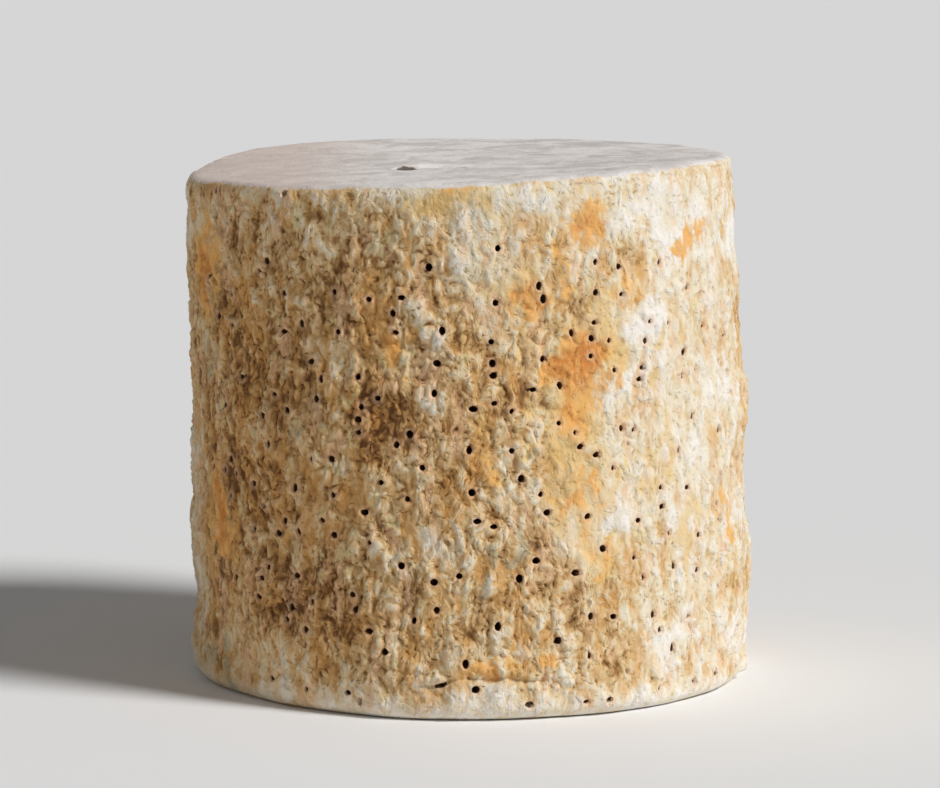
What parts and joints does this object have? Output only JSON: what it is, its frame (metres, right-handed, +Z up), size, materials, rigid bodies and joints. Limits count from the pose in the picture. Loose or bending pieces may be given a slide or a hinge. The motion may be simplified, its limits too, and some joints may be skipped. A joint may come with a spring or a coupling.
{
  "type": "blue cheese wheel",
  "caption": "Whole uncut drum of blue cheese with a rough mottled natural rind pierced by needle holes, a sloping smoother top face and a flat base.",
  "frame": {"origin": "middle of the drum's box at the height of its flat base", "axes": "+Z up, the shortest side of the drum's box; the side of the wall that the picture shows faces -Y; the top face slopes down towards -X"},
  "size_m": [0.2106, 0.2098, 0.1941],
  "materials": {
    "rind": null
  },
  "bodies": {
    "root": {"cheese_wheel": "rind"}
  },
  "joints": []
}
